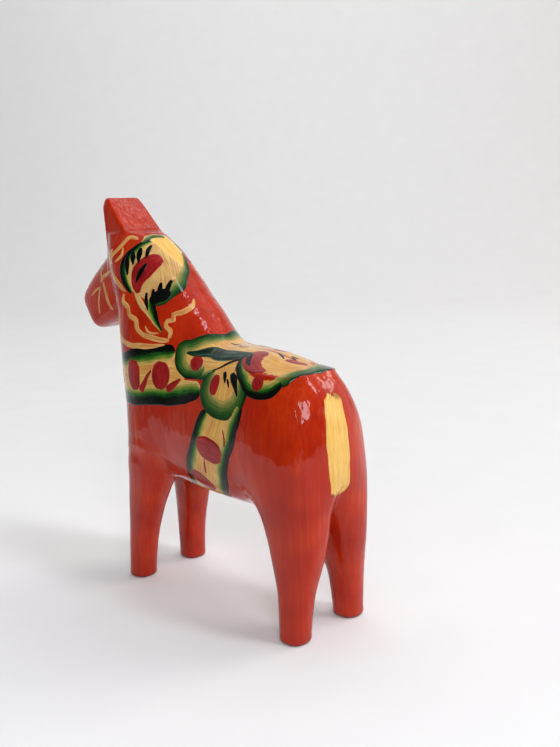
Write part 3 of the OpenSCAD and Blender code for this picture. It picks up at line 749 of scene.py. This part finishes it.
lines = [on("left", (34.4, 115.6, 0.8), (37.2, 116.4, 1.1), (39.1, 114.2, 1.0), (41.5, 111.8, 0.9),
            (43.3, 110.3, 1.0), (44.4, 107.4, 1.1), (45, 104.6, 0.8)),
         on("left", (38.6, 113.2, 0.5), (38.3, 110.8, 0.8), (40.8, 108.4, 0.5)),
         on("left", (43.4, 112.8, 0.6), (44.4, 110.2, 0.9), (42.6, 107.8, 0.4)),
         on("left", (45, 106, 1.2), (41.5, 104, 1.2), (38.5, 102, 1.1), (35.6, 100.2, 0.8),
            (33.2, 98.9, 0.3)),
         on("left", (47, 105.4, 0.5), (50.5, 104.2, 0.7), (54, 102.7, 0.9), (55.4, 101, 0.5)),
         on("left", (53.2, 106.4, 0.4), (54.8, 105, 0.6), (54.4, 102.8, 0.6)),
         on("left", (55.6, 99.6, 0.5), (59, 98.4, 0.6), (62.6, 96.2, 0.25)),
         on("left", (56, 99.2, 0.5), (57.6, 95, 0.55), (58.2, 90, 0.25)),
         on("left", (53.6, 101.6, 0.8), (52.8, 98, 0.9), (52, 94.6, 0.9), (50.6, 91.6, 0.6)),
         on("left", (37.6, 91.6, 0.9), (36.6, 88.4, 1.2), (35.6, 85.8, 1.3), (33.6, 83.6, 1.3),
            (30, 82.4, 1.2), (24, 82.1, 1.2), (18, 82.4, 0.9), (13.6, 83, 0.3)),
         on("left", (34, 98.5, 0.5), (34.2, 96, 1.1), (31.2, 94.1, 1.0), (30, 91.6, 1.1), (26.6, 90, 1.1),
            (25.9, 87.8, 1.1), (23.5, 86, 1.0), (18.5, 85, 1.1), (15.2, 84.4, 1.1), (12.3, 84.3, 0.6)),
         on("left", (12.6, 84.6, 0.6), (12.6, 87, 1.1), (14.7, 88.7, 1.0), (14.6, 90.1, 1.0),
            (12.7, 90.5, 0.9), (13.4, 92, 0.9), (11.5, 92.6, 1.2), (10.4, 94.2, 1.1), (12, 96.6, 0.4)),
         on("left", (22.4, 88.6, 0.2), (21, 86.8, 0.5), (16.4, 86.4, 0.25))]
FINE_BRUSH = 0.82  # the fine brush's half width as a share of the half widths marked above
reins = [stroke(line * (1, 1, 1, FINE_BRUSH), 0.1 + 0.004 * n, seed=80 + n) for n, line in enumerate(lines)]
lay("bridle_lines_left", bridle_ochre, reins, "bridle_left")
far_curl = on("left", (16.2, 85, 0.6), (16.4, 87, 1.1), (18.4, 88.7, 1.0), (18.3, 90.1, 1.0),
              (16.6, 90.5, 0.9), (17.4, 92, 0.9), (16, 93.4, 0.4))
far_reins = for_side("right", reins[:11] + [stroke(far_curl, 0.14, seed=95)])
lay("bridle_lines_right", bridle_ochre, far_reins, "bridle_right")

# ---------------------------------------------------------------------------
# The tail. One broad pull of a flat brush down the rump in warm yellow oil
# paint, its ends left ragged where the bristles lifted.

pull = on("behind", (1.0, 71.4, 3.3), (1.9, 66, 3.8), (2.4, 60, 4.3), (2.3, 52, 4.4), (1.5, 43.6, 4.3))
lay("tail_pull", warm_yellow, [stroke(pull, 0.1, blunt=0.35, ragged=1.6, seed=99)], "tail_stroke")

# ---------------------------------------------------------------------------
# Floor and backdrop. One sheet of pale matt card, laid flat under the horse and curved up
# behind it, in two strips so that the one in shade can be kept out of the varnish.

paper, tree, shader = new_finish("matt_white_card")
place = add(tree, "ShaderNodeTexCoord").outputs["Object"]
pulp = add(tree, "ShaderNodeTexNoise", None, {"Vector": place, "Scale": 40.0, "Detail": 4.0})
white = add(tree, "ShaderNodeValToRGB", {"stops": [(0.3, "#E6E5E4"), (0.7, "#E8E7E6")]},
            {"Fac": pulp.outputs["Fac"]})
tree.links.new(white.outputs["Color"], shader.inputs["Base Color"])
shader.inputs["Roughness"].default_value = 0.75
shader.inputs["Specular IOR Level"].default_value = 0.25

NEAR_EDGE, BEND, RADIUS, TOP = -1.6, 0.9, 0.6, 2.2  # metres: near edge, start and radius of the curve, top
turn = np.linspace(0.08, math.pi / 2, 24)
run = np.concatenate([np.linspace(NEAR_EDGE, BEND, 40), BEND + RADIUS * np.sin(turn),
                      np.full(8, BEND + RADIUS)])
rise = np.concatenate([np.zeros(40), RADIUS - RADIUS * np.cos(turn), np.linspace(RADIUS + 0.1, TOP, 8)])
back = (-math.cos(math.radians(45)), -math.sin(math.radians(45)))


def sheet(name, wide):
    """A strip of the paper: the sweep's profile along run and rise, carried sideways over wide."""
    x = run[:, None] * back[0] - wide[None, :] * back[1]
    y = run[:, None] * back[1] + wide[None, :] * back[0]
    sweep = np.stack([x, y, np.repeat(rise[:, None], len(wide), 1)], -1)
    faces = squares(np.arange(sweep.shape[0] * sweep.shape[1]).reshape(sweep.shape[:2]))
    mesh = bpy.data.meshes.new(name)
    mesh.from_pydata(sweep.reshape(-1, 3).tolist(), [], faces.tolist())
    mesh.polygons.foreach_set("use_smooth", np.ones(len(faces), dtype=bool))
    mesh.materials.append(paper)
    floor = bpy.data.objects.new(name, mesh)
    bpy.context.scene.collection.objects.link(floor)
    return floor


sheet("paper_sweep", np.linspace(-2, 0.2, 20))
shaded = sheet("paper_in_shade", np.linspace(0.2, 2, 20))
shaded.visible_glossy = False  # too dim there to show in the varnish

# ---------------------------------------------------------------------------
# Light. Windows on the horse's right, on its left and high behind it, a pale doorway, a
# ceiling and a wall that are kept out of the varnish, a lamp on the backdrop, and a room
# that is pale on the far side and dim on the near one.

room = bpy.data.worlds.new("pale_room")
bpy.context.scene.world = room
room.use_nodes = True
tree = room.node_tree
walls = tree.nodes["Background"]
walls.inputs["Color"].default_value = tint("#F4F6F9")
toward = add(tree, "ShaderNodeVectorMath", {"operation": "DOT_PRODUCT"},
             {0: add(tree, "ShaderNodeTexCoord").outputs["Generated"], 1: (0.88, 0.38, 0.10)})
lit = add(tree, "ShaderNodeMapRange", None, {
    "Value": toward.outputs["Value"], "From Min": -0.45, "From Max": 0.35, "To Min": 1.0, "To Max": 0.03})
camera_ray = add(tree, "ShaderNodeLightPath").outputs["Is Camera Ray"]
shown = add(tree, "ShaderNodeMix", None, {0: camera_ray, 2: lit.outputs[0], 3: 0.86})
tree.links.new(shown.outputs[0], walls.inputs["Strength"])


def placed(across, upward, away, spot):
    """The matrix that stands a lamp or the camera at spot, its x, y and z along three directions."""
    axes = np.stack([across, upward, away, spot], 1)
    return Matrix([*axes.tolist(), [0, 0, 0, 1]])


def window(name, azimuth, elevation, distance, size, power, warmth, target=(0, 0, 0.07)):
    """A soft oblong light aimed at the horse, or at target; azimuth is counted from the front
    round by its left."""
    data = bpy.data.lights.new(name, "AREA")
    data.shape, data.size, data.size_y = "RECTANGLE", size[0], size[1]
    data.energy, data.color = power, tint(warmth)[:3]
    a, e = math.radians(azimuth), math.radians(elevation)
    way = np.array([math.sin(a) * math.cos(e), -math.cos(a) * math.cos(e), math.sin(e)])
    right = np.cross((0, 0, 1), way)
    right /= np.linalg.norm(right)
    up = np.cross(way, right)
    lamp = bpy.data.objects.new(name, data)
    lamp.matrix_world = placed(right, up, way, np.array(target) + distance * way)
    bpy.context.scene.collection.objects.link(lamp)
    return lamp


window("window_right", -116, 38, 1.8, (0.66, 0.42), 6.3, "#FFF6EC")
window("window_left", 144, 31, 1.0, (0.38, 0.28), 4.2, "#F4F8FF")
window("white_ceiling", -30, 82, 1.7, (2.2, 2.2), 8.0, "#FBFCFF").visible_glossy = False
window("white_wall", 118, 28, 1.7, (1.5, 0.9), 4.2, "#FFFCF8").visible_glossy = False
window("window_rear", -162, 56, 1.3, (0.18, 0.7), 5.4, "#F4F8FF")
window("pale_doorway", -150, 14, 1.9, (1.3, 0.7), 4.2, "#FFFDFA")
window("backdrop_lamp", 135, 35, 0.9, (1.4, 0.3), 6.4, "#FBFCFF", (-0.95, -0.95, 0.75))

# ---------------------------------------------------------------------------
# Camera. Held low behind the horse on its left and tipped two degrees, with a lens a
# little shorter than normal; the place is in metres, the angles in degrees.

lens = bpy.data.cameras.new("camera")
lens.sensor_fit, lens.sensor_width, lens.lens = "AUTO", 36, 41.2
azimuth, elevation, roll = (math.radians(angle) for angle in (135.18, 9.94, -2.13))
away = np.array([math.sin(azimuth) * math.cos(elevation), -math.cos(azimuth) * math.cos(elevation),
                 math.sin(elevation)])
right = np.cross(-away, (0, 0, 1))
right /= np.linalg.norm(right)
up = np.cross(right, -away)
across = math.cos(roll) * right + math.sin(roll) * up
upward = -math.sin(roll) * right + math.cos(roll) * up
camera = bpy.data.objects.new("camera", lens)
camera.matrix_world = placed(across, upward, away, (0.1756, 0.2112, 0.1190))
bpy.context.scene.collection.objects.link(camera)
bpy.context.scene.camera = camera
bpy.context.scene.view_settings.view_transform = "Standard"
